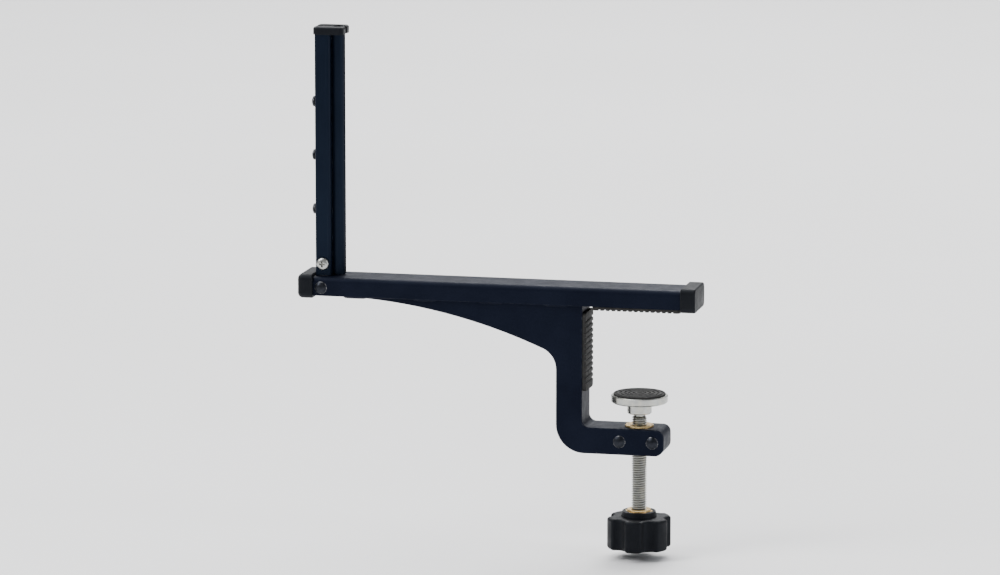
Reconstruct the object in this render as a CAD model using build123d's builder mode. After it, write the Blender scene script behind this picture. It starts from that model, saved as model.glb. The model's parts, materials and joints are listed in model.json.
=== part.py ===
from build123d import *

import os
from math import acos, cos, degrees, radians

# Table tennis net clamp: a post bracket that grips the edge of a table top with a screw clamp.
#
# Millimetres, +Z up.  The origin is the centre of the seat pad's underside, which lies on the table.
# +X runs in over the table and -X out beyond its edge; the net would run along +X in the plane Y = 0.

# ---------------------------------------------------------------- driving dimensions
edge_x = -27.0              # face of the edge pad, which meets the side of the table
outer_reach = 156.0         # from the table's edge out to the tip of the arm
inner_reach = 59.0          # from the table's edge in to the tip of the arm
rest_opening = 45.0         # table thickness that the clamp is set to at rest
open_travel = 5.0           # how far the clamp screw still opens from there
close_travel = 30.0         # and how far it closes
post_overhang = 147.5       # from the table's edge out to the post's outer face
post_top_z = 145.0          # top of the post above the table
post_lift = 12.0            # height adjustment of the post

sheet = 2.0                 # thickness of all sheet steel
sheet_edge = 0.35           # broken edges of the cheeks
pad_thick = 2.0
pad_edge = 0.3
pad_corner = 2.0
pad_inset = 0.5             # between a pad's sides and the metal's edges
seat_pad_gap = 0.5          # between the seat pad and the inner boot
edge_pad_top = -2.0
edge_pad_base = -44.0

rail_width = 24.0
rail_height = 10.0
rail_bend = 3.0             # outer radius of the arm's two folds
rail_lip = 0.4              # rounding of the arm's lower edges
boot_wall = 1.5
boot_corner = 3.0
outer_boot_length = 8.2
outer_boot_nose = 2.6
inner_boot_length = 8.0
inner_boot_nose = 0.9
boot_mouth_edge = 0.5
boot_plug = 4.2             # how far a boot's plug reaches into the arm
fit_gap = 0.1               # clearance of a plug or a pressed part in its seat
overshoot = 1.0             # how far a cutting outline runs past what it cuts

arm_curve_start = 140.0     # from the table's edge out to where the arm's long curve begins
arm_curve_radius = 300.0
cheek_setback = 4.5         # from the arm's ends to the cheeks' ends
cheek_top_gap = 0.8         # between the cheeks and the arm's top
spine_width = 14.0
spine_blend_radius = 12.0
jaw_depth = 14.0
jaw_tip = 15.0
jaw_heel_radius = 15.0
jaw_toe_radius = 5.0
jaw_nose_radius = 4.0
throat_radius = 4.0

jaw_block_length = 23.6
jaw_block_bevel = 2.0
jaw_rivet_offset = 8.8      # each side of the clamp screw
rivet_radius = 2.0
rivet_head_radius = 3.3
rivet_head_height = 1.3

screw_radius = 4.0
screw_bore = 4.06           # plain bore that stands for the internal thread
bush_radius = 6.0
bush_flange_radius = 7.6
bush_flange = 1.0
bush_edge = 0.3
jaw_clearance = 2.0         # between the pad's socket, fully open, and the jaw

rubber_thick = 3.0
cup_radius = 15.0
cup_rim = 1.2
cup_floor = 2.0
boss_radius = 6.5
boss_height = 6.0
rubber_seat_depth = 2.0     # how far the rubber's seat reaches down inside the cup
cup_lip_edge = 0.4
cup_underside_edge = 0.6
boss_foot = 1.0             # cone between the boss and the cup
boss_edge = 0.5
pad_rubber_edge = 0.4
ball_drop = 3.2             # from the cup's underside to the ball's centre
ball_radius = 4.0
socket_radius = 4.1
socket_mouth = 3.3
neck_radius = 2.5
neck_gap = 1.5              # between the socket and the screw's end
stem_length = 8.0
stem_clearance = 0.05
stem_end_gap = 0.3
screw_point = 0.8           # bevel of the screw's upper end

knob_radius = 17.0
knob_height = 20.0
knob_lobes = 6
knob_flute_radius = 5.0
knob_flute_ring = 19.0      # radius of the circle of flute centres
knob_flute_blend = 2.0
knob_edge = 1.6
knob_hub_radius = 9.5
knob_hub_height = 3.0
knob_floor = 4.0
knob_cover_radius = 8.0
knob_cover_thick = 1.6
knob_cover_edge = 0.5
knob_draft = 12.0           # degrees
knob_stop_gap = 1.5         # left between the knob and the jaw at full travel
insert_flats = 13.0
insert_collar_radius = 6.2
insert_collar_height = 1.0

post_width = 15.0
chamber_width = 8.4         # box part of the post, which takes the foot's blade
chamber_depth = 14.0
chamber_corner = 1.2
hollow_corner = 0.5
post_wall = 1.3
channel_bore = 2.8          # for the rod in the net's edge
channel_outer = 3.9
channel_slot = 2.4
post_gap = 0.3              # between the post and the arm
cap_height = 4.0
cap_lip = 0.8
cap_corner = 2.4
cap_edge = 1.2
cap_plug = 9.0
cap_clearance = 0.3         # the cap's keyhole is this much larger all round than the channel
cord_notch_width = 2.6      # groove across the cap that the net's cord lies in
cord_notch_straight = 1.7   # depth of its straight sides, above the round bottom

foot_length = 15.0
foot_offset = 2.0           # from the blade's middle to the foot's middle
foot_rivet_height = 2.4
blade_clearance = 0.2
blade_corner = 0.6
blade_tip_edge = 0.5
blade_reach = 5.0           # above the lock slot

lock_radius = 2.0           # M4 screw that locks the post's height
lock_height = 6.5           # its centre above the arm
lock_slot_clearance = 0.3
lock_head_radius = 3.3
lock_head_height = 2.3
lock_head_rim = 1.03        # height of the head's straight side, under its dome
lock_recess_depth = 1.5
lock_recess_span = 3.2
lock_recess_width = 0.9
lock_tail = 0.8             # beyond the nut
lock_tail_edge = 0.4
lock_thread_gap = 0.02
washer_radius = 4.0
washer_thick = 0.8
nut_flats = 7.0
nut_thick = 3.2
nut_bevel_start = 0.25      # outside the flats, where the bevel of the corners begins
tool_taper = 12.0           # degrees, of the recess and of the nut's bevelled corners

stud_heights = {"lower": 35.0, "middle": 64.0, "upper": 92.5}   # above the arm
stud_shank = 1.7
stud_head = 2.9             # radius, and the same reach out from the post
stud_tail = 2.4
stud_tail_height = 1.2

# ---------------------------------------------------------------- derived places
rail_bottom = pad_thick
rail_top = rail_bottom + rail_height
rail_middle = (rail_bottom + rail_top) / 2
tip_out = edge_x - outer_reach
tip_in = edge_x + inner_reach
rail_start = tip_out + boot_wall
rail_end = tip_in - boot_wall
cheek_outer_y = rail_width / 2 - sheet
cheek_inner_y = cheek_outer_y - sheet
cheek_start = rail_start + cheek_setback
cheek_end = rail_end - cheek_setback
cheek_top = rail_top - sheet - cheek_top_gap

throat_x = edge_x - pad_thick
spine_x = throat_x - spine_width
seat_length = 2 * (tip_in - inner_boot_length - seat_pad_gap)

rubber_top = -rest_opening
cup_top = rubber_top - rubber_thick
cup_base = cup_top - cup_floor
boss_base = cup_base - boss_height
ball_z = cup_base - ball_drop
neck_base = boss_base - neck_gap
stem_end = neck_base - stem_length

jaw_top = boss_base - open_travel - jaw_clearance
jaw_base = jaw_top - jaw_depth
jaw_middle = (jaw_top + jaw_base) / 2
knob_top = jaw_base - close_travel - knob_stop_gap
knob_base = knob_top - knob_height
insert_base = knob_base + knob_floor

post_outer_x = edge_x - post_overhang
post_x = post_outer_x + post_width / 2
chamber_x = post_outer_x + chamber_width / 2
channel_x = post_outer_x + post_width - channel_outer
post_base = rail_top + post_gap
post_end = post_top_z - cap_height
hollow_x = chamber_width - 2 * post_wall
hollow_y = chamber_depth - 2 * post_wall
blade_x = hollow_x - 2 * blade_clearance
blade_y = hollow_y - 2 * blade_clearance
lock_z = rail_top + lock_height
blade_top = lock_z + post_lift + lock_radius + blade_reach

foot_base = rail_bottom + sheet
foot_rivet_place = (chamber_x, foot_base + foot_rivet_height)
jaw_rivet_places = [(side * jaw_rivet_offset, jaw_middle) for side in (-1, 1)]

arc_centre = (edge_x - arm_curve_start, rail_bottom - arm_curve_radius)
arc_angle = 90 - degrees(acos((spine_x - arc_centre[0]) / arm_curve_radius))
arc_end_z = rail_bottom - arm_curve_radius * (1 - cos(radians(arc_angle)))


def save(builder, name):
    """Label a finished piece and write it as its own STEP file."""
    builder.part.label = name
    export_step(builder.part, f"parts/{name}.step")


def drill_y(places, radius):
    """Cut round holes right through the part being built, along Y, at (x, z) places."""
    with BuildSketch(Plane.XZ) as holes:
        with Locations(*places):
            Circle(radius)
    extrude(holes.sketch, amount=rail_width, both=True, mode=Mode.SUBTRACT)


def rivet(x, z, half_width):
    """Add a rivet along Y with a low dome on each end, its heads seated at y = +-half_width."""
    crown = (rivet_head_radius**2 + rivet_head_height**2) / (2 * rivet_head_height)
    crest = (0, half_width + rivet_head_height)
    rim = (rivet_head_radius, half_width)
    with BuildSketch(Plane((x, 0, z))) as half_profile:
        with BuildLine():
            Polyline(crest, (0, 0), (rivet_radius, 0), (rivet_radius, half_width), rim)
            RadiusArc(rim, crest, -crown)
        make_face()
    half = revolve(half_profile.sketch, axis=Axis((x, 0, z), (0, 1, 0)))
    mirror(half, about=Plane.XZ)


def keyhole(radius, slot):
    """Round channel for the net's rod and the slot that opens it towards the table."""
    with BuildSketch() as outline:
        with Locations((channel_x, 0)):
            Circle(radius)
        with Locations((channel_x + channel_outer, 0)):
            Rectangle(2 * channel_outer, slot)
    return outline.sketch


# ---------------------------------------------------------------- profiles shared by several pieces
with BuildSketch(mode=Mode.PRIVATE) as cheek_outline:
    with BuildLine():
        CenterArc(arc_centre, arm_curve_radius, 90 - arc_angle, arc_angle)
        Polyline(
            (spine_x, arc_end_z),
            (spine_x, jaw_base),
            (jaw_tip, jaw_base),
            (jaw_tip, jaw_top),
            (throat_x, jaw_top),
            (throat_x, rail_bottom),
            (cheek_end, rail_bottom),
            (cheek_end, cheek_top),
            (cheek_start, cheek_top),
            (cheek_start, rail_bottom),
            (arc_centre[0], rail_bottom),
        )
    make_face()
    for corner_x, corner_z, corner_radius in (
        (spine_x, arc_end_z, spine_blend_radius),
        (spine_x, jaw_base, jaw_heel_radius),
        (jaw_tip, jaw_base, jaw_toe_radius),
        (jaw_tip, jaw_top, jaw_nose_radius),
        (throat_x, jaw_top, throat_radius),
    ):
        fillet(cheek_outline.vertices().sort_by_distance((corner_x, corner_z, 0))[0], corner_radius)
cheek_face = cheek_outline.sketch


def rail_outline(grow=0.0):
    """Outline of the arm in the YZ plane, with its two folds at the top."""
    with BuildSketch() as outline:
        with Locations((0, rail_middle)):
            Rectangle(rail_width + 2 * grow, rail_height + 2 * grow)
        fillet(outline.vertices().group_by(Axis.Y)[-1], rail_bend + grow)
        fillet(outline.vertices().group_by(Axis.Y)[0], rail_lip)
    return outline.sketch


os.makedirs("parts", exist_ok=True)

# ---------------------------------------------------------------- arm: rail and the boots on its ends
with BuildPart() as rail:
    with BuildSketch(Plane.YZ.offset(rail_start)):
        add(rail_outline())
        with Locations((0, rail_middle - sheet)):
            Rectangle(rail_width - 2 * sheet, rail_height, mode=Mode.SUBTRACT)
    extrude(amount=rail_end - rail_start)
    with BuildSketch(Plane.XY.offset(rail_top - sheet)):
        with Locations((chamber_x, 0)):
            RectangleRounded(hollow_x, hollow_y, blade_corner + blade_clearance)
    extrude(amount=sheet, mode=Mode.SUBTRACT)
    drill_y([foot_rivet_place], rivet_radius)
save(rail, "rail")


def boot(at_x, inwards, length, nose_radius):
    """Moulded boot over one end of the rail: a sleeve, an end wall and a short inner plug."""
    with BuildPart() as shape:
        with BuildSketch(Plane.YZ.offset(at_x)):
            with Locations((0, rail_middle)):
                RectangleRounded(rail_width + 2 * boot_wall, rail_height + 2 * boot_wall, boot_corner)
        extrude(amount=inwards * length)
        nose = shape.faces().filter_by(Axis.X).sort_by(Axis.X, reverse=inwards < 0)[0]
        fillet(nose.edges(), nose_radius)
        mouth = shape.faces().filter_by(Axis.X).sort_by(Axis.X, reverse=inwards < 0)[-1]
        chamfer(mouth.edges(), boot_mouth_edge)
        with BuildSketch(Plane.YZ.offset(at_x + inwards * boot_wall)):
            add(rail_outline(fit_gap))
        extrude(amount=inwards * length, mode=Mode.SUBTRACT)
        with BuildSketch(Plane.YZ.offset(at_x + inwards * boot_wall)):
            with Locations((0, rail_bottom + (rail_height - sheet) / 2)):
                Rectangle(rail_width - 2 * (sheet + fit_gap), rail_height - sheet - 2 * fit_gap)
        extrude(amount=inwards * boot_plug)
    return shape


save(boot(tip_out, 1, outer_boot_length, outer_boot_nose), "rail_outer_cap")
save(boot(tip_in, -1, inner_boot_length, inner_boot_nose), "rail_inner_cap")

# ---------------------------------------------------------------- cheeks and the strips between them
for cheek_name, y_side in (("front_cheek", -1), ("rear_cheek", 1)):
    plate_middle = y_side * (cheek_inner_y + cheek_outer_y) / 2
    with BuildPart() as cheek:
        with BuildSketch(Plane.XZ.offset(-plate_middle)):
            add(cheek_face)
            with Locations(*jaw_rivet_places, foot_rivet_place):
                Circle(rivet_radius, mode=Mode.SUBTRACT)
        extrude(amount=sheet / 2, both=True)
        outer_face = cheek.faces().filter_by(Axis.Y).sort_by(Axis.Y, reverse=y_side < 0)[-1]
        chamfer(outer_face.outer_wire().edges(), sheet_edge)
    save(cheek, cheek_name)

# The strips close the box between the cheeks: each is a stretch of the band just inside their outline.
with BuildSketch(mode=Mode.PRIVATE) as band:
    add(cheek_face)
    offset(cheek_face, amount=-sheet, kind=Kind.INTERSECTION, mode=Mode.SUBTRACT)


def band_stretch(*outline):
    """Add the part of the band that lies inside an outline, as wide as the space between the cheeks."""
    with BuildSketch(Plane.XZ) as stretch:
        with BuildLine():
            Polyline(*outline, close=True)
        make_face()
        add(band.sketch, mode=Mode.INTERSECT)
    extrude(stretch.sketch, amount=cheek_inner_y, both=True)


spine_middle_x = throat_x - spine_width / 2
strip_joint_x = jaw_tip - jaw_toe_radius
with BuildPart() as belly_strip:
    band_stretch(
        (cheek_start + overshoot, foot_base),
        (spine_middle_x, foot_base),
        (spine_middle_x, jaw_middle),
        (strip_joint_x, jaw_middle),
        (strip_joint_x, jaw_top + overshoot),
        (jaw_tip + overshoot, jaw_top + overshoot),
        (jaw_tip + overshoot, jaw_base - overshoot),
        (spine_x - overshoot, jaw_base - overshoot),
        (cheek_start + overshoot, rail_bottom - overshoot),
    )
    with BuildSketch(Plane.XY.offset(jaw_base)):
        Circle(bush_radius)
    extrude(amount=sheet, mode=Mode.SUBTRACT)
save(belly_strip, "belly_strip")

with BuildPart() as throat_strip:
    band_stretch(
        (spine_middle_x, foot_base),
        (cheek_end - sheet, foot_base),
        (cheek_end - sheet, rail_bottom - overshoot),
        (strip_joint_x, rail_bottom - overshoot),
        (strip_joint_x, jaw_top - sheet - overshoot),
        (spine_middle_x, jaw_top - sheet - overshoot),
    )
    with BuildSketch(Plane.XY.offset(jaw_top - sheet)):
        Circle(bush_radius)
    extrude(amount=sheet, mode=Mode.SUBTRACT)
save(throat_strip, "throat_strip")

# ---------------------------------------------------------------- rubber pads against the table
with BuildPart() as seat_pad:
    with BuildSketch(Plane.XY):
        RectangleRounded(seat_length, rail_width - 2 * pad_inset, pad_corner)
    extrude(amount=pad_thick)
    chamfer(seat_pad.faces().sort_by(Axis.Z)[0].edges(), pad_edge)
save(seat_pad, "seat_pad")

with BuildPart() as edge_pad:
    with BuildSketch(Plane.YZ.offset(throat_x)):
        with Locations((0, (edge_pad_top + edge_pad_base) / 2)):
            RectangleRounded(2 * (cheek_outer_y - pad_inset), edge_pad_top - edge_pad_base, pad_corner)
    extrude(amount=pad_thick)
    chamfer(edge_pad.faces().sort_by(Axis.X)[-1].edges(), pad_edge)
save(edge_pad, "edge_pad")

# ---------------------------------------------------------------- lower jaw: block, threaded bush and rivets
with BuildPart() as jaw_block:
    with BuildSketch(Plane.XY.offset(jaw_base + sheet)):
        Rectangle(jaw_block_length, 2 * cheek_inner_y)
        Circle(bush_radius, mode=Mode.SUBTRACT)
    extrude(amount=jaw_depth - 2 * sheet)
    chamfer(jaw_block.edges().filter_by(Axis.Y), jaw_block_bevel)
    drill_y(jaw_rivet_places, rivet_radius)
save(jaw_block, "jaw_block")

with BuildPart() as thread_bush:
    with BuildSketch(Plane.XY.offset(jaw_base)):
        Circle(bush_radius)
        Circle(screw_bore, mode=Mode.SUBTRACT)
    extrude(amount=jaw_depth)
    with BuildSketch(Plane.XY.offset(jaw_top)):
        Circle(bush_flange_radius)
        Circle(screw_bore, mode=Mode.SUBTRACT)
    extrude(amount=bush_flange)
    chamfer(thread_bush.faces().sort_by(Axis.Z)[-1].outer_wire().edges(), bush_edge)
save(thread_bush, "thread_bush")

with BuildPart() as jaw_rivets:
    for rivet_x, rivet_z in jaw_rivet_places:
        rivet(rivet_x, rivet_z, cheek_outer_y)
save(jaw_rivets, "jaw_rivets")

# ---------------------------------------------------------------- post foot
with BuildPart() as post_foot:
    with BuildSketch(Plane.XY.offset(foot_base)):
        with Locations((chamber_x + foot_offset, 0)):
            Rectangle(foot_length, 2 * cheek_inner_y)
    extrude(amount=rail_top - sheet - foot_base)
    with BuildSketch(Plane.XY.offset(rail_top - sheet)):
        with Locations((chamber_x, 0)):
            RectangleRounded(blade_x, blade_y, blade_corner)
    extrude(amount=blade_top - rail_top + sheet)
    chamfer(post_foot.faces().sort_by(Axis.Z)[-1].edges(), blade_tip_edge)
    drill_y([foot_rivet_place], rivet_radius)
    with BuildSketch(Plane.XZ):
        with Locations((chamber_x, lock_z + post_lift / 2)):
            SlotCenterToCenter(post_lift, 2 * (lock_radius + lock_slot_clearance), rotation=90)
    extrude(amount=rail_width, both=True, mode=Mode.SUBTRACT)
save(post_foot, "post_foot")

with BuildPart() as foot_rivet:
    rivet(*foot_rivet_place, rail_width / 2)
save(foot_rivet, "foot_rivet")

# ---------------------------------------------------------------- post: extrusion, cap and cord studs
with BuildPart() as post_body:
    with BuildSketch(Plane.XY.offset(post_base)):
        with Locations((chamber_x, 0)):
            RectangleRounded(chamber_width, chamber_depth, chamber_corner)
        with Locations((channel_x, 0)):
            Circle(channel_outer)
        with Locations((chamber_x, 0)):
            RectangleRounded(hollow_x, hollow_y, hollow_corner, mode=Mode.SUBTRACT)
        add(keyhole(channel_bore, channel_slot), mode=Mode.SUBTRACT)
    extrude(amount=post_end - post_base)
    drill_y([(chamber_x, lock_z)], lock_radius + fit_gap)
    with BuildSketch(Plane.YZ.offset(post_outer_x)):
        with Locations(*[(0, rail_top + height) for height in stud_heights.values()]):
            Circle(stud_shank)
    extrude(amount=post_wall, mode=Mode.SUBTRACT)
save(post_body, "post_body")

with BuildPart() as post_cap:
    with BuildSketch(Plane.XY.offset(post_end)):
        with Locations((post_x, 0)):
            RectangleRounded(post_width + 2 * cap_lip, chamber_depth + 2 * cap_lip, cap_corner)
    extrude(amount=cap_height)
    fillet(post_cap.faces().sort_by(Axis.Z)[-1].edges(), cap_edge)
    with BuildSketch(Plane.XY.offset(post_end)):
        add(keyhole(channel_bore + cap_clearance, channel_slot + 2 * cap_clearance))
    extrude(amount=cap_height, mode=Mode.SUBTRACT)
    with BuildSketch(Plane.YZ.offset(post_outer_x - 2 * cap_lip)):
        with Locations((0, post_top_z)):
            SlotCenterToCenter(2 * cord_notch_straight, cord_notch_width, rotation=90)
    extrude(amount=channel_x - post_outer_x, mode=Mode.SUBTRACT)
    with BuildSketch(Plane.XY.offset(post_end)):
        with Locations((chamber_x, 0)):
            RectangleRounded(hollow_x - 2 * fit_gap, hollow_y - 2 * fit_gap, hollow_corner)
    extrude(amount=-cap_plug)
save(post_cap, "post_cap")

tail_end = post_wall + stud_tail_height
for stud_name, height in stud_heights.items():
    stud_z = rail_top + height
    with BuildPart() as cord_stud:
        with BuildSketch(Plane((post_outer_x, 0, stud_z))):
            with BuildLine():
                # bevelled head outside, shank through the wall and a spread tail inside
                Polyline(
                    (tail_end, 0),
                    (-stud_head, 0),
                    (-stud_head, 0.5 * stud_head),
                    (-0.8 * stud_head, 0.93 * stud_head),
                    (-0.5 * stud_head, stud_head),
                    (-0.45 * stud_head, stud_shank),
                    (post_wall, stud_shank),
                    (post_wall, stud_tail),
                    (tail_end - 0.25 * stud_tail_height, 0.9 * stud_tail),
                    (tail_end, 0.6 * stud_tail),
                    close=True,
                )
            make_face()
        revolve(axis=Axis((post_outer_x, 0, stud_z), (1, 0, 0)))
    save(cord_stud, f"{stud_name}_cord_stud")

# ---------------------------------------------------------------- height lock: screw, washer and nut
front_y = -chamber_depth / 2
rear_y = chamber_depth / 2
nut_y = rear_y + washer_thick
screw_end_y = nut_y + nut_thick + lock_tail

with BuildPart() as lock_screw:
    head_y = front_y - lock_head_height
    shoulder = (lock_head_radius, front_y - lock_head_rim)
    with BuildSketch(Plane((chamber_x, 0, lock_z))):
        with BuildLine():
            Polyline(
                (0, head_y),
                (0, screw_end_y),
                (lock_radius - lock_tail_edge, screw_end_y),
                (lock_radius, screw_end_y - lock_tail_edge),
                (lock_radius, front_y),
                (lock_head_radius, front_y),
                shoulder,
            )
            Bezier(shoulder, (0.92 * lock_head_radius, head_y), (0, head_y))
        make_face()
    revolve(axis=Axis((chamber_x, 0, lock_z), (0, 1, 0)))
    with BuildSketch(Plane.XZ.offset(-head_y)):
        with Locations((chamber_x, lock_z)):
            Rectangle(lock_recess_span, lock_recess_width)
            Rectangle(lock_recess_width, lock_recess_span)
    extrude(amount=-lock_recess_depth, taper=tool_taper, mode=Mode.SUBTRACT)
save(lock_screw, "height_lock_screw")

with BuildPart() as lock_washer:
    with BuildSketch(Plane.XZ.offset(-rear_y)):
        with Locations((chamber_x, lock_z)):
            Circle(washer_radius)
            Circle(lock_radius + fit_gap, mode=Mode.SUBTRACT)
    extrude(amount=-washer_thick)
save(lock_washer, "height_lock_washer")

with BuildPart() as lock_nut:
    with BuildSketch(Plane.XZ.offset(-nut_y)):
        with Locations((chamber_x, lock_z)):
            RegularPolygon(nut_flats / 2, 6, major_radius=False)
    extrude(amount=-nut_thick)
    with BuildSketch(Plane.XZ.offset(-nut_y)):
        with Locations((chamber_x, lock_z)):
            Circle(nut_flats / 2 + nut_bevel_start)
    extrude(amount=-nut_thick, taper=-tool_taper, mode=Mode.INTERSECT)
    drill_y([(chamber_x, lock_z)], lock_radius + lock_thread_gap)
save(lock_nut, "height_lock_nut")

# ---------------------------------------------------------------- clamp screw, its ball tip and the knob
with BuildPart() as ball_tip:
    neck_join = ball_z - (ball_radius**2 - neck_radius**2) ** 0.5
    ball_top = ball_z + ball_radius
    with BuildSketch(Plane.XZ):
        with BuildLine():
            ThreePointArc((neck_radius, neck_join), (ball_radius, ball_z), (0, ball_top))
            Polyline((0, ball_top), (0, stem_end), (neck_radius, stem_end), (neck_radius, neck_join))
        make_face()
    revolve(axis=Axis.Z)
save(ball_tip, "ball_tip")

with BuildPart() as clamp_screw:
    with BuildSketch(Plane.XY.offset(insert_base)):
        Circle(screw_radius)
    extrude(amount=neck_base - insert_base)
    chamfer(clamp_screw.faces().sort_by(Axis.Z)[-1].edges(), screw_point)
    with BuildSketch(Plane.XY.offset(neck_base)):
        Circle(neck_radius + stem_clearance)
    extrude(amount=-stem_length - stem_end_gap, mode=Mode.SUBTRACT)
save(clamp_screw, "clamp_screw")

with BuildPart() as knob_insert:
    with BuildSketch(Plane.XY.offset(insert_base)):
        RegularPolygon(insert_flats / 2, 6, major_radius=False)
        Circle(screw_radius, mode=Mode.SUBTRACT)
    extrude(amount=knob_top - insert_base)
    with BuildSketch(Plane.XY.offset(knob_top)):
        Circle(insert_collar_radius)
        Circle(screw_radius, mode=Mode.SUBTRACT)
    extrude(amount=insert_collar_height)
save(knob_insert, "knob_insert")

with BuildPart() as knob:
    with BuildSketch(Plane.XY.offset(knob_base)) as grip:
        Circle(knob_radius)
        with PolarLocations(knob_flute_ring, knob_lobes):
            Circle(knob_flute_radius, mode=Mode.SUBTRACT)
        fillet(grip.vertices(), knob_flute_blend)
    extrude(amount=knob_height - knob_hub_height)
    fillet(knob.faces().sort_by(Axis.Z)[0].edges(), knob_edge)
    fillet(knob.faces().sort_by(Axis.Z)[-1].edges(), knob_edge)
    with BuildSketch(Plane.XY.offset(knob_top - knob_hub_height)):
        Circle(knob_hub_radius)
    extrude(amount=knob_hub_height, taper=knob_draft)
    with BuildSketch(Plane.XY.offset(insert_base)):
        RegularPolygon(insert_flats / 2, 6, major_radius=False)
    extrude(amount=knob_height, mode=Mode.SUBTRACT)
    with BuildSketch(Plane.XY.offset(knob_base)):
        Circle(knob_cover_radius)
    extrude(amount=knob_cover_thick, mode=Mode.SUBTRACT)
save(knob, "knob")

with BuildPart() as knob_cover:
    with BuildSketch(Plane.XY.offset(knob_base)):
        Circle(knob_cover_radius - fit_gap)
    extrude(amount=knob_cover_thick)
    fillet(knob_cover.faces().sort_by(Axis.Z)[0].edges(), knob_cover_edge)
save(knob_cover, "knob_cover")

# ---------------------------------------------------------------- swivel pad on the ball
with BuildPart() as swivel_cup:
    seat_radius = cup_radius - cup_rim
    seat_z = cup_top + rubber_seat_depth
    with BuildSketch(Plane.XZ):
        with BuildLine():
            Polyline(
                (0, cup_top),
                (seat_radius, cup_top),
                (seat_radius, seat_z),
                (cup_radius - cup_lip_edge, seat_z),
                (cup_radius, seat_z - cup_lip_edge),
                (cup_radius, cup_base + cup_underside_edge),
                (cup_radius - cup_underside_edge, cup_base),
                (boss_radius + boss_foot, cup_base),
                (boss_radius, cup_base - boss_foot),
                (boss_radius, boss_base + boss_edge),
                (boss_radius - boss_edge, boss_base),
                (0, boss_base),
                close=True,
            )
        make_face()
    revolve(axis=Axis.Z)
    with BuildSketch(Plane.XY.offset(boss_base)):
        Circle(socket_mouth)
    extrude(amount=ball_z - boss_base, mode=Mode.SUBTRACT)
    with Locations((0, 0, ball_z)):
        Sphere(socket_radius, mode=Mode.SUBTRACT)
save(swivel_cup, "swivel_cup")

with BuildPart() as pad_rubber:
    with BuildSketch(Plane.XY.offset(cup_top)):
        Circle(cup_radius - cup_rim - fit_gap)
    extrude(amount=rubber_thick)
    chamfer(pad_rubber.faces().sort_by(Axis.Z)[-1].edges(), pad_rubber_edge)
save(pad_rubber, "pad_rubber")
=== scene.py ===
"""Looks of the table tennis net clamp: its finishes, the pieces that need mesh work, and a studio.

Metres, in the frame of the CAD model: +X runs in over the table and the seat pad's underside is z = 0.
"""

import json
from math import cos, pi, radians, sin, sqrt, tau

import bmesh
import bpy
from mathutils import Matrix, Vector


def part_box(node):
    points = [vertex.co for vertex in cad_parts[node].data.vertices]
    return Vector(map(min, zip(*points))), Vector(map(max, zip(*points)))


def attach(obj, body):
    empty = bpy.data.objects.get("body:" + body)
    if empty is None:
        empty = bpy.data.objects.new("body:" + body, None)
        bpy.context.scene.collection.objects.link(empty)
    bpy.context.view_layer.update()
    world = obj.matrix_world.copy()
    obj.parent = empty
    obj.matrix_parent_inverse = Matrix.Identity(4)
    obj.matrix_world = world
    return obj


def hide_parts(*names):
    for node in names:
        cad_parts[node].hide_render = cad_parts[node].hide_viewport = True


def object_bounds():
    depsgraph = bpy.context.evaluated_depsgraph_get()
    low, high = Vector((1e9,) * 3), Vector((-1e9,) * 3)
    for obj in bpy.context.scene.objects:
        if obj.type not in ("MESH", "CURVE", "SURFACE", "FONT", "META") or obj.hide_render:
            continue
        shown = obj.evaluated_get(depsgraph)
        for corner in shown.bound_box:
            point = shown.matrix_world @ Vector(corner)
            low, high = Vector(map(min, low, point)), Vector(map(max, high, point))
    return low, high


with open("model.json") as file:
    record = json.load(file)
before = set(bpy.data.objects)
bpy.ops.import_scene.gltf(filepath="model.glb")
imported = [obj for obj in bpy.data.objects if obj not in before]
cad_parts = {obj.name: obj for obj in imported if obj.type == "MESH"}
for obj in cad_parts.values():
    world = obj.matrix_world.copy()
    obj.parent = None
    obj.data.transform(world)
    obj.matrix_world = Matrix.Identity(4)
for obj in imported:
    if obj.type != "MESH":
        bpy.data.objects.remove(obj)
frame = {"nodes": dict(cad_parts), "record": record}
cad_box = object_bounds()
cad_centre = (cad_box[0] + cad_box[1]) / 2

MM = 0.001
SMOOTH_ANGLE = radians(32)
MERGE_DISTANCE = 1e-7

# ---------------------------------------------------------------- sizes of the pieces made here
THREAD_PITCH = 1.25 * MM
THREAD_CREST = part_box("clamp_screw")[1].x
THREAD_ROOT = 3.25 * MM
THREAD_END_SLOPE = 1.2      # how fast the thread rises from the root at the rod's two ends
STEM_BORE = 2.55 * MM       # blind hole in the rod's top that the ball tip's stem turns in
STEM_DEPTH = 8.3 * MM

GROOVE_PITCH = 3.0 * MM
GROOVE_WIDTH = 1.1 * MM
GROOVE_DEPTH = 0.6 * MM
GROOVE_SHOULDER = 0.35 * MM
PAD_CORNER = 2.0 * MM
PAD_EDGE = 0.35 * MM
RIB_STEP = 0.12 * MM        # length of the mesh rows that draw the grooves

RING_PITCH = 2.3 * MM
RING_FIRST = 3.2 * MM
RING_HALF_WIDTH = 0.5 * MM
RING_DEPTH = 0.55 * MM
DISC_EDGE = 0.4 * MM
DIMPLE_RADIUS = 1.5 * MM
DIMPLE_DEPTH = 0.3 * MM

CHEEK_FACE_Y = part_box("rear_cheek")[1].y
RAIL_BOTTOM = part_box("rail")[0].z
WELD_RADIUS = 1.15 * MM
WELD_TIP = 0.02 * MM        # radius at the bead's two ends
WELD_LENGTH = 13.0 * MM
WELD_STEP = 0.2 * MM
WELD_SIDES = 16
WELD_RIPPLE = 1.1 * MM      # from one ripple of the bead to the next
WELD_DIP = 0.07             # how far a ripple rises and falls, as a part of the bead's radius
WELD_BOW = 0.18 * MM        # how far the ripples bow along the bead
WELD_PLACES = (-0.152, -0.114, -0.078, -0.043)

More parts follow.
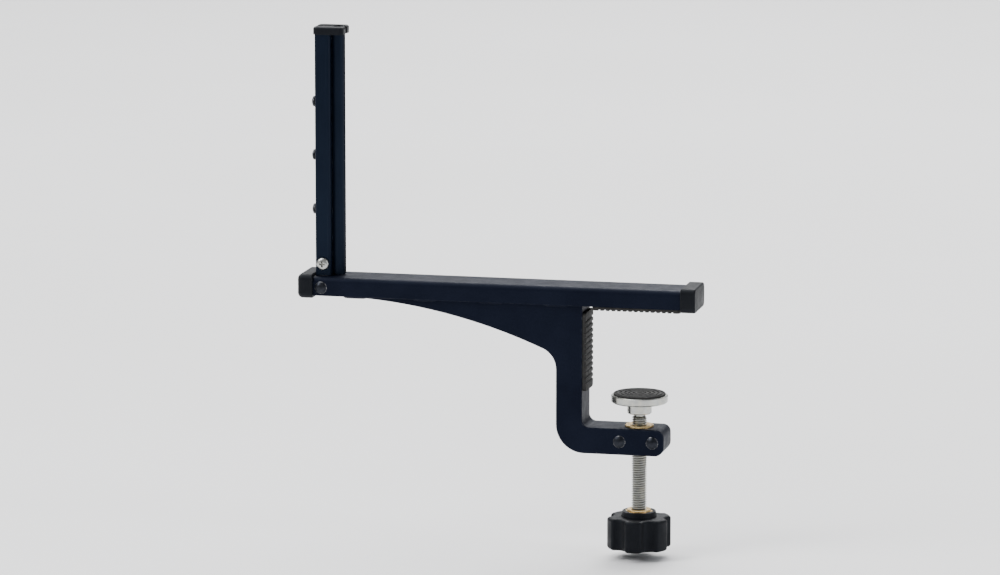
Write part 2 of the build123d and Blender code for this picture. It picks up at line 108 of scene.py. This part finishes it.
FLOOR_HALF = 12.0
FLOOR_GAP = 0.2 * MM        # between the floor and the knob, with the clamp wide open
PICTURE_ASPECT = 1000 / 575
COOL_WHITE = (0.95, 0.97, 1.0)


# ---------------------------------------------------------------- mesh helpers
def new_piece(name, vertices, faces, body, material):
    """A mesh object that rides on a CAD body, smooth except at its sharp edges."""
    mesh = bpy.data.meshes.new(name)
    mesh.from_pydata(vertices, [], faces)
    work = bmesh.new()
    work.from_mesh(mesh)
    bmesh.ops.remove_doubles(work, verts=work.verts, dist=MERGE_DISTANCE)
    bmesh.ops.dissolve_degenerate(work, edges=work.edges, dist=MERGE_DISTANCE)
    bmesh.ops.recalc_face_normals(work, faces=work.faces)
    work.to_mesh(mesh)
    work.free()
    mesh.shade_smooth()
    mesh.set_sharp_from_angle(angle=SMOOTH_ANGLE)
    mesh.materials.append(material)
    piece = bpy.data.objects.new(name, mesh)
    bpy.context.scene.collection.objects.link(piece)
    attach(piece, body)
    return piece


def skin(rings):
    """Vertices and faces that join a stack of rings of equal length, with a lid on each end."""
    count = len(rings[0])
    vertices = [point for ring in rings for point in ring]
    faces = []
    for level in range(len(rings) - 1):
        for i in range(count):
            j = (i + 1) % count
            low, high = level * count, (level + 1) * count
            faces.append((low + i, low + j, high + j, high + i))
    faces.append(tuple(range(count)))
    faces.append(tuple(range(len(vertices) - count, len(vertices))))
    return vertices, faces


def turned(profile, segments=96):
    """Vertices and faces of a (radius, height) profile turned about Z, closed where it meets the axis."""
    rings = []
    for radius, z in profile:
        angles = [tau * i / segments for i in range(segments)]
        rings.append([(radius * cos(a), radius * sin(a), z) for a in angles])
    return skin(rings)


def rounded_rectangle(u_low, u_high, v_low, v_high, radius, steps=3):
    """Outline points of a rectangle with round corners."""
    corners = (
        (u_high - radius, v_high - radius),
        (u_low + radius, v_high - radius),
        (u_low + radius, v_low + radius),
        (u_high - radius, v_low + radius),
    )
    points = []
    for quarter, (u, v) in enumerate(corners):
        for step in range(steps + 1):
            angle = (quarter + step / steps) * pi / 2
            points.append((u + radius * cos(angle), v + radius * sin(angle)))
    return points


def groove_depth(along, middle):
    """Depth of a pad's cross grooves at one place along it: flat lands and round-shouldered grooves."""
    phase = ((along - middle) / GROOVE_PITCH) % 1.0
    off_centre = abs(phase - 0.5) * GROOVE_PITCH
    ramp = (GROOVE_WIDTH / 2 - off_centre) / GROOVE_SHOULDER + 0.5
    ramp = min(max(ramp, 0.0), 1.0)
    return GROOVE_DEPTH * ramp * ramp * (3 - 2 * ramp)


def ribbed_rings(low, high, half_width, thickness, place):
    """Cross-sections along a rubber pad with grooves over its free face and round plan corners.

    place(along, across, up) turns pad coordinates into a point; up is 0 at the glued face.
    """
    middle = (low + high) / 2
    plain_end = GROOVE_PITCH * 0.8
    corner_steps = 8
    corner_angles = [step / corner_steps * pi / 2 for step in range(corner_steps + 1)]
    corner = [(PAD_CORNER * (1 - cos(a)), PAD_CORNER * (1 - sin(a))) for a in corner_angles]
    straight = high - low - 2 * PAD_CORNER
    rows = int(straight / RIB_STEP)
    places = [(low + off, inset) for off, inset in corner]
    places += [(low + PAD_CORNER + i / rows * straight, 0.0) for i in range(1, rows)]
    places += [(high - off, inset) for off, inset in corner[::-1]]
    rings = []
    for along, inset in places:
        inside = low + plain_end < along < high - plain_end
        depth = thickness - (groove_depth(along, middle) if inside else 0.0)
        outline = rounded_rectangle(-half_width + inset, half_width - inset, 0.0, depth, PAD_EDGE)
        rings.append([place(along, across, up) for across, up in outline])
    return rings


# ---------------------------------------------------------------- pieces
def threaded_rod(name, bottom, top, material):
    """The clamp screw: a right-hand thread with chamfered ends and the ball stem's seat in its top."""
    around = 56
    # one turn of the thread's profile: (part of the pitch, radius)
    tooth = (
        (0.0, THREAD_ROOT),
        (0.1, THREAD_ROOT),
        (0.43, THREAD_CREST),
        (0.57, THREAD_CREST),
        (0.9, THREAD_ROOT),
    )
    # turns past both ends are pressed flat there, so the thread runs out of each end
    turns = int((top - bottom) / THREAD_PITCH) + 3
    rows = turns * len(tooth)
    vertices = []
    for row in range(rows):
        turn, step = divmod(row, len(tooth))
        fraction, radius = tooth[step]
        for column in range(around):
            angle = tau * column / around
            z = bottom + THREAD_PITCH * (turn - 1 + fraction + column / around)
            z = min(max(z, bottom), top)
            end_limit = THREAD_ROOT + THREAD_END_SLOPE * min(z - bottom, top - z)
            r = min(radius, end_limit)
            vertices.append((r * cos(angle), r * sin(angle), z))
    faces = []
    for row in range(rows - 1):
        for column in range(around):
            low = row * around + column
            if column < around - 1:
                faces.append((low, low + 1, low + around + 1, low + around))
            elif row + len(tooth) + 1 < rows:
                after = (row + len(tooth)) * around
                faces.append((low, after, after + around, low + around))
    faces.append(tuple(range(around)))
    for z in (top, top - STEM_DEPTH):
        for column in range(around):
            angle = tau * column / around
            vertices.append((STEM_BORE * cos(angle), STEM_BORE * sin(angle), z))
    for row in (rows - 1, rows):
        for column in range(around):
            after = (column + 1) % around
            low, high = row * around, (row + 1) * around
            faces.append((low + column, low + after, high + after, high + column))
    faces.append(tuple(range((rows + 1) * around, (rows + 2) * around)))
    piece = new_piece(name, vertices, faces, "screw", material)
    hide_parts("clamp_screw")


def seat_pad(material):
    """Ribbed rubber strip under the arm."""
    low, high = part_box("seat_pad")
    rings = ribbed_rings(
        low.x, high.x, high.y, high.z - low.z, lambda along, across, up: (along, across, high.z - up)
    )
    vertices, faces = skin(rings)
    piece = new_piece("seat_rubber", vertices, faces, "bracket", material)
    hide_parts("seat_pad")


def edge_pad(material):
    """Ribbed rubber strip on the spine, against the table's side."""
    low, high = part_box("edge_pad")
    rings = ribbed_rings(
        low.z, high.z, high.y, high.x - low.x, lambda along, across, up: (low.x + up, across, along)
    )
    vertices, faces = skin(rings)
    piece = new_piece("edge_rubber", vertices, faces, "bracket", material)
    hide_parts("edge_pad")


def pad_rubber(material):
    """Rubber disc of the swivel pad, with ring-shaped grooves in its top."""
    low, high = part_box("pad_rubber")
    radius = high.x
    dimple = high.z - DIMPLE_DEPTH
    profile = [(0.0, dimple), (0.8 * DIMPLE_RADIUS, dimple), (DIMPLE_RADIUS, high.z)]
    ring = RING_FIRST
    while ring + RING_HALF_WIDTH < radius - DISC_EDGE:
        # one groove: (part of its half width, part of its depth)
        for offset, sink in ((-1.0, 0.0), (-0.6, 0.85), (0.0, 1.0), (0.6, 0.85), (1.0, 0.0)):
            profile.append((ring + offset * RING_HALF_WIDTH, high.z - sink * RING_DEPTH))
        ring += RING_PITCH
    edge_steps = 4
    for step in range(edge_steps + 1):
        angle = step / edge_steps * pi / 2
        profile.append((radius - DISC_EDGE * (1 - sin(angle)), high.z - DISC_EDGE * (1 - cos(angle))))
    profile += [(radius, low.z), (0.0, low.z)]
    vertices, faces = turned(profile)
    piece = new_piece("pad_disc", vertices, faces, "swivel_pad", material)
    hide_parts("pad_rubber")


def weld_bead(name, middle, side, material):
    """A short rippled fillet weld in the corner between a cheek and the arm's lower edge."""
    steps = int(WELD_LENGTH / WELD_STEP)
    rings = []
    for i in range(steps + 1):
        along = i / steps
        taper = sqrt(max(1 - (2 * along - 1) ** 6, 0.0))
        ripple = 1 - WELD_DIP + WELD_DIP * cos(tau * along * WELD_LENGTH / WELD_RIPPLE)
        radius = max(WELD_RADIUS * taper * ripple, WELD_TIP)
        middle_x = middle + (along - 0.5) * WELD_LENGTH
        ring = []
        for j in range(WELD_SIDES):
            angle = tau * j / WELD_SIDES
            x = middle_x + WELD_BOW * cos(angle)
            y = side * (CHEEK_FACE_Y + radius * cos(angle))
            ring.append((x, y, RAIL_BOTTOM + radius * sin(angle)))
        rings.append(ring)
    vertices, faces = skin(rings)
    new_piece(name, vertices, faces, "bracket", material)


# ---------------------------------------------------------------- materials
class Finish:
    """A material being built on Blender's Principled shader, with short calls for its nodes."""

    def __init__(self, name, settings):
        self.material = bpy.data.materials.new(name)
        self.material.use_nodes = True
        self.tree = self.material.node_tree
        self.shader = self.tree.nodes["Principled BSDF"]
        for socket, value in settings.items():
            self.shader.inputs[socket].default_value = value
        self.place = self.add("TexCoord").outputs["Object"]

    def add(self, kind, inputs=(), **settings):
        """A new node; inputs maps its sockets to plain values or to other nodes' outputs."""
        node = self.tree.nodes.new("ShaderNode" + kind)
        for key, value in settings.items():
            setattr(node, key, value)
        for key, value in dict(inputs).items():
            if isinstance(value, bpy.types.NodeSocket):
                self.tree.links.new(value, node.inputs[key])
            else:
                node.inputs[key].default_value = value
        return node

    def noise(self, size, detail=3.0, rough=0.5, stretch=(1, 1, 1), place=None):
        """Noise whose features measure about size metres; stretch squeezes them along an axis."""
        scaled = self.add("Mapping", {"Vector": place or self.place, "Scale": stretch})
        sockets = {"Vector": scaled.outputs[0], "Scale": 1 / size, "Detail": detail, "Roughness": rough}
        return self.add("TexNoise", sockets).outputs["Fac"]

    def spread(self, value, low, high, out_low=0.0, out_high=1.0):
        """Maps low..high to out_low..out_high, clamped."""
        sockets = {"Value": value, "From Min": low, "From Max": high, "To Min": out_low, "To Max": out_high}
        return self.add("MapRange", sockets).outputs["Result"]

    def maths(self, operation, a, b):
        """Arithmetic on two values: ADD, SUBTRACT, MULTIPLY, or SQRT of the first."""
        return self.add("Math", {0: a, 1: b}, operation=operation).outputs[0]

    def blend(self, factor, a, b):
        """Mix of two colours, which are sockets 6 and 7 of the node."""
        return self.add("Mix", {0: factor, 6: a, 7: b}, data_type="RGBA").outputs[2]

    def edges(self, radius, softness=0.12):
        """1 along the edges, fading to 0 on open faces."""
        rounded = self.add("Bevel", {"Radius": radius}, samples=6).outputs[0]
        flat = self.add("NewGeometry").outputs["Normal"]
        facing = self.add("VectorMath", {0: rounded, 1: flat}, operation="DOT_PRODUCT").outputs["Value"]
        return self.spread(facing, 0.99, 1.0 - softness)

    def axis_distance(self, centre=(0, 0, 0), along="Z"):
        """Coordinates for lathe marks: distance from an axis, and place along it."""
        moved = self.add("VectorMath", {0: self.place, 1: centre}, operation="SUBTRACT").outputs[0]
        split = self.add("SeparateXYZ", {0: moved}).outputs
        first, second = [split[name] for name in "XYZ" if name != along]
        squares = [self.maths("MULTIPLY", value, value) for value in (first, second)]
        radius = self.maths("SQRT", self.maths("ADD", *squares), 0.0)
        return radius, split[along]

    def lathe_marks(self, size, centre=(0, 0, 0), along="Z"):
        """Fine rings round an axis, on both its ends and its sides."""
        radius, height = self.axis_distance(centre, along)
        place = self.add("CombineXYZ", {0: radius, 1: height}).outputs[0]
        return self.noise(size, detail=2.0, place=place)

    def bump(self, height, strength, distance, normal=None):
        """Relief of a height from 0 to 1, which is distance metres, on top of an earlier relief."""
        sockets = {"Height": height, "Strength": strength, "Distance": distance}
        if normal is not None:
            sockets["Normal"] = normal
        return self.add("Bump", sockets).outputs[0]

    def colour(self, value):
        """Drives the surface's colour."""
        self.tree.links.new(value, self.shader.inputs["Base Color"])

    def roughness(self, value):
        """Drives the surface's roughness."""
        self.tree.links.new(value, self.shader.inputs["Roughness"])

    def normal(self, value):
        """Gives the surface its relief."""
        self.tree.links.new(value, self.shader.inputs["Normal"])


def powder_coat():
    """Satin black powder coat with a navy cast, orange peel, dust in its hollows and rubbed edges."""
    f = Finish("powder_coat", {"Specular IOR Level": 0.11, "Specular Tint": (0.50, 0.62, 1.0, 1)})
    cloud = f.spread(f.noise(22 * MM, 4.0), 0.35, 0.7)
    base = f.blend(cloud, (0.0022, 0.0029, 0.0068, 1), (0.0040, 0.0052, 0.0110, 1))
    rubbed = f.maths("MULTIPLY", f.edges(0.7 * MM), f.spread(f.noise(2.5 * MM, 5.0, 0.65), 0.48, 0.7))
    base = f.blend(rubbed, base, (0.060, 0.066, 0.078, 1))
    specks = f.spread(f.noise(0.5 * MM, 2.0), 0.73, 0.80)
    base = f.blend(f.maths("MULTIPLY", specks, 0.35), base, (0.05, 0.052, 0.056, 1))
    f.colour(base)
    sheen = f.spread(f.noise(9 * MM, 5.0, 0.6), 0.3, 0.75, 0.46, 0.62)
    f.roughness(f.maths("SUBTRACT", sheen, f.maths("MULTIPLY", rubbed, 0.12)))
    peel = f.bump(f.noise(1.1 * MM, 2.0), 0.45, 0.22 * MM)
    f.normal(f.bump(f.noise(5.0 * MM, 2.0), 0.05, 0.6 * MM, peel))
    return f.material


def post_finish():
    """Black anodised extrusion: faint lines drawn along its length and a cooler cast."""
    f = Finish("post_finish", {"Specular IOR Level": 0.12, "Specular Tint": (0.50, 0.68, 1.0, 1)})
    drawn = f.noise(1.0 * MM, 4.0, 0.6, stretch=(1.6, 1.6, 0.02))
    cloud = f.spread(f.noise(30 * MM, 3.0), 0.35, 0.7)
    base = f.blend(cloud, (0.0018, 0.0034, 0.0085, 1), (0.0034, 0.0058, 0.0125, 1))
    base = f.blend(f.spread(drawn, 0.56, 0.72, 0.0, 0.4), base, (0.010, 0.014, 0.021, 1))
    rubbed = f.maths("MULTIPLY", f.edges(0.5 * MM), f.spread(f.noise(3 * MM, 5.0, 0.65), 0.46, 0.66))
    f.colour(f.blend(rubbed, base, (0.07, 0.075, 0.085, 1)))
    f.roughness(f.spread(drawn, 0.3, 0.72, 0.36, 0.52))
    lines = f.bump(drawn, 0.22, 0.12 * MM)
    f.normal(f.bump(f.noise(0.35 * MM, 1.0), 0.06, 0.08 * MM, lines))
    return f.material


def moulded_plastic():
    """Black nylon with a spark-eroded grain, polished a little where hands touch it."""
    f = Finish("moulded_plastic", {"Specular IOR Level": 0.14, "Specular Tint": (0.78, 0.86, 1.0, 1)})
    cloud = f.spread(f.noise(12 * MM, 4.0), 0.35, 0.7)
    base = f.blend(cloud, (0.0026, 0.0028, 0.0037, 1), (0.0046, 0.0048, 0.0059, 1))
    handled = f.maths("MULTIPLY", f.edges(1.4 * MM, 0.3), f.spread(f.noise(6 * MM, 4.0), 0.35, 0.65))
    base = f.blend(f.maths("MULTIPLY", handled, 0.6), base, (0.016, 0.016, 0.0175, 1))
    f.colour(base)
    grain = f.noise(0.5 * MM, 3.0, 0.6)
    rough = f.spread(f.noise(7 * MM, 4.0), 0.3, 0.7, 0.46, 0.60)
    f.roughness(f.maths("SUBTRACT", rough, f.maths("MULTIPLY", handled, 0.16)))
    f.normal(f.bump(f.noise(8 * MM, 1.0), 0.05, 0.8 * MM, f.bump(grain, 0.55, 0.12 * MM)))
    return f.material


def rubber():
    """Charcoal rubber: dull, faintly dusty, with a fine open texture."""
    f = Finish("rubber", {"Specular IOR Level": 0.3})
    dust = f.spread(f.noise(4 * MM, 6.0, 0.7), 0.45, 0.75, 0.0, 0.55)
    base = f.blend(f.spread(f.noise(9 * MM), 0.3, 0.7), (0.010, 0.010, 0.010, 1), (0.017, 0.0165, 0.016, 1))
    f.colour(f.blend(dust, base, (0.042, 0.040, 0.037, 1)))
    f.roughness(f.spread(f.noise(2.5 * MM, 4.0), 0.3, 0.7, 0.70, 0.92))
    f.normal(f.bump(f.noise(0.3 * MM, 3.0, 0.6), 0.45, 0.09 * MM))
    return f.material


def zinc_steel(name, centre=(0, 0, 0), along="Z", thread=False):
    """Zinc-plated steel with a pale straw tint and lathe marks round its own axis."""
    f = Finish(name, {"Metallic": 1.0})
    marks = f.lathe_marks(0.16 * MM, centre, along)
    tint = f.spread(f.noise(3.5 * MM, 4.0), 0.35, 0.68)
    base = f.blend(tint, (0.36, 0.37, 0.365, 1), (0.46, 0.455, 0.405, 1))
    dull = f.spread(f.noise(1.1 * MM, 5.0, 0.7), 0.55, 0.78, 0.0, 0.5)
    base = f.blend(dull, base, (0.25, 0.25, 0.245, 1))
    rough = f.maths("ADD", f.spread(marks, 0.3, 0.7, 0.24, 0.36), f.maths("MULTIPLY", dull, 0.25))
    if thread:
        radius, _ = f.axis_distance(centre, along)
        grease = f.spread(radius, THREAD_CREST - 0.12 * MM, THREAD_ROOT, 0.0, 0.75)
        grease = f.maths("MULTIPLY", grease, f.spread(f.noise(5 * MM, 4.0), 0.3, 0.65, 0.5, 1.0))
        base = f.blend(grease, base, (0.055, 0.048, 0.036, 1))
        rough = f.maths("ADD", rough, f.maths("MULTIPLY", grease, 0.15))
    f.colour(base)
    f.roughness(rough)
    f.normal(f.bump(marks, 0.25, 0.03 * MM))
    return f.material


def brass():
    """Turned brass, tarnished in patches."""
    f = Finish("brass", {"Metallic": 1.0})
    marks = f.lathe_marks(0.2 * MM)
    tarnish = f.spread(f.noise(2.2 * MM, 6.0, 0.65), 0.48, 0.72)
    f.colour(f.blend(tarnish, (0.74, 0.55, 0.27, 1), (0.40, 0.26, 0.11, 1)))
    f.roughness(f.maths("ADD", f.spread(marks, 0.3, 0.7, 0.22, 0.34), f.maths("MULTIPLY", tarnish, 0.22)))
    f.normal(f.bump(marks, 0.3, 0.03 * MM))
    return f.material


def stud_steel():
    """Black-oxide steel of the rivets and studs, bright where cord or hands have rubbed it."""
    f = Finish("stud_steel", {"Metallic": 0.8, "Specular IOR Level": 0.3})
    worn = f.maths("MULTIPLY", f.edges(0.6 * MM, 0.25), f.spread(f.noise(0.9 * MM, 4.0), 0.42, 0.62))
    patches = f.spread(f.noise(1.5 * MM), 0.35, 0.7)
    base = f.blend(patches, (0.012, 0.014, 0.019, 1), (0.023, 0.025, 0.032, 1))
    f.colour(f.blend(worn, base, (0.20, 0.20, 0.20, 1)))
    f.roughness(f.spread(f.noise(0.8 * MM, 4.0), 0.3, 0.7, 0.30, 0.46))
    f.normal(f.bump(f.noise(0.25 * MM, 2.0), 0.2, 0.04 * MM))
    return f.material


def middle_of(node):
    """Centre of a CAD node's box."""
    low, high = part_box(node)
    return tuple((low + high) / 2)


materials = {
    "powder_coat": powder_coat(),
    "post_finish": post_finish(),
    "moulded_plastic": moulded_plastic(),
    "rubber": rubber(),
    "brass": brass(),
    "stud_steel": stud_steel(),
    "zinc_steel": zinc_steel("zinc_turned"),
}
zinc_thread = zinc_steel("zinc_thread", thread=True)
zinc_lock = zinc_steel("zinc_lock", centre=middle_of("height_lock_screw"), along="Y")

for part in frame["record"]["subparts"]:
    finish = materials[part["material_slot"]]
    if part["node"].startswith("height_lock"):
        finish = zinc_lock
    for place in frame["nodes"][part["node"]].material_slots:
        place.material = finish

screw_low, screw_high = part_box("clamp_screw")
threaded_rod("thread_rod", screw_low.z, screw_high.z, zinc_thread)
seat_pad(materials["rubber"])
edge_pad(materials["rubber"])
pad_rubber(materials["rubber"])
for side, side_name in ((-1, "front"), (1, "rear")):
    for number, middle in enumerate(WELD_PLACES, 1):
        weld_bead(f"weld_{side_name}_{number}", middle, side, materials["powder_coat"])


# ---------------------------------------------------------------- studio
def towards(azimuth, elevation):
    """Unit vector from the object to a place round it, in degrees; azimuth 0 is in front, at -Y."""
    a, e = radians(azimuth), radians(elevation)
    return Vector((sin(a) * cos(e), -cos(a) * cos(e), sin(e)))


def aimed(name, data, away, location):
    """Adds a lamp or a camera that looks against the direction away."""
    thing = bpy.data.objects.new(name, data)
    thing.location = location
    thing.rotation_mode = "QUATERNION"
    thing.rotation_quaternion = away.to_track_quat("Z", "Y")
    bpy.context.scene.collection.objects.link(thing)
    return thing


def floor():
    """Plain pale floor, as far under the knob as the clamp screw can still lower it."""
    f = Finish("floor", {"Roughness": 0.7, "Specular IOR Level": 0.3})
    f.colour(f.blend(f.spread(f.noise(0.4, 3.0), 0.3, 0.7), (0.80, 0.80, 0.80, 1), (0.83, 0.83, 0.835, 1)))
    joints = {joint["name"]: joint for joint in frame["record"]["behaviour"]["joints"]}
    level = cad_box[0].z + joints["clamp_travel"]["range_m"][0] - FLOOR_GAP
    ends = (-FLOOR_HALF, FLOOR_HALF)
    corners = [(x, y, level) for y in ends for x in ends]
    mesh = bpy.data.meshes.new("floor")
    mesh.from_pydata(corners, [], [(0, 1, 3, 2)])
    mesh.materials.append(f.material)
    plane = bpy.data.objects.new("floor", mesh)
    bpy.context.scene.collection.objects.link(plane)


def softbox(name, azimuth, elevation, distance, width, height, watts, colour=(1, 1, 1)):
    """A rectangular area light aimed at the object."""
    lamp = bpy.data.lights.new(name, "AREA")
    lamp.shape = "RECTANGLE"
    lamp.size, lamp.size_y = width, height
    lamp.energy = watts
    lamp.color = colour
    away = towards(azimuth, elevation)
    aimed(name, lamp, away, cad_centre + away * distance)


def sky_light(name, azimuth, elevation, spread, strength):
    """A very wide, soft sun that lights the floor evenly; spread is its angle in degrees."""
    lamp = bpy.data.lights.new(name, "SUN")
    lamp.energy = strength
    lamp.angle = radians(spread)
    away = towards(azimuth, elevation)
    aimed(name, lamp, away, away)


def surroundings(colour, strength):
    """An even glow from all round."""
    world = bpy.data.worlds.new("studio")
    bpy.context.scene.world = world
    world.use_nodes = True
    background = world.node_tree.nodes["Background"]
    background.inputs["Color"].default_value = colour
    background.inputs["Strength"].default_value = strength


def camera(azimuth, elevation, lens, fill):
    """A long lens at the viewing angle, far enough for the object to fill part of the frame's height."""
    data = bpy.data.cameras.new("camera")
    data.lens = lens
    data.clip_end = 100
    half_angle_tan = data.sensor_width / PICTURE_ASPECT / 2 / lens
    distance = (cad_box[1].z - cad_box[0].z) / 2 / fill / half_angle_tan
    away = towards(azimuth, elevation)
    bpy.context.scene.camera = aimed("camera", data, away, cad_centre + away * distance)


floor()
sky_light("sky", azimuth=-150, elevation=62, spread=70, strength=4.3)
softbox("key", azimuth=-52, elevation=42, distance=2.6, width=1.0, height=1.8, watts=58)
softbox("fill", azimuth=75, elevation=18, distance=3.0, width=0.7, height=2.6, watts=38, colour=COOL_WHITE)
softbox("rim", azimuth=172, elevation=38, distance=3.0, width=2.0, height=1.0, watts=58)
surroundings(colour=(0.93, 0.95, 1.0, 1), strength=0.32)
camera(azimuth=13, elevation=10, lens=200, fill=0.90)
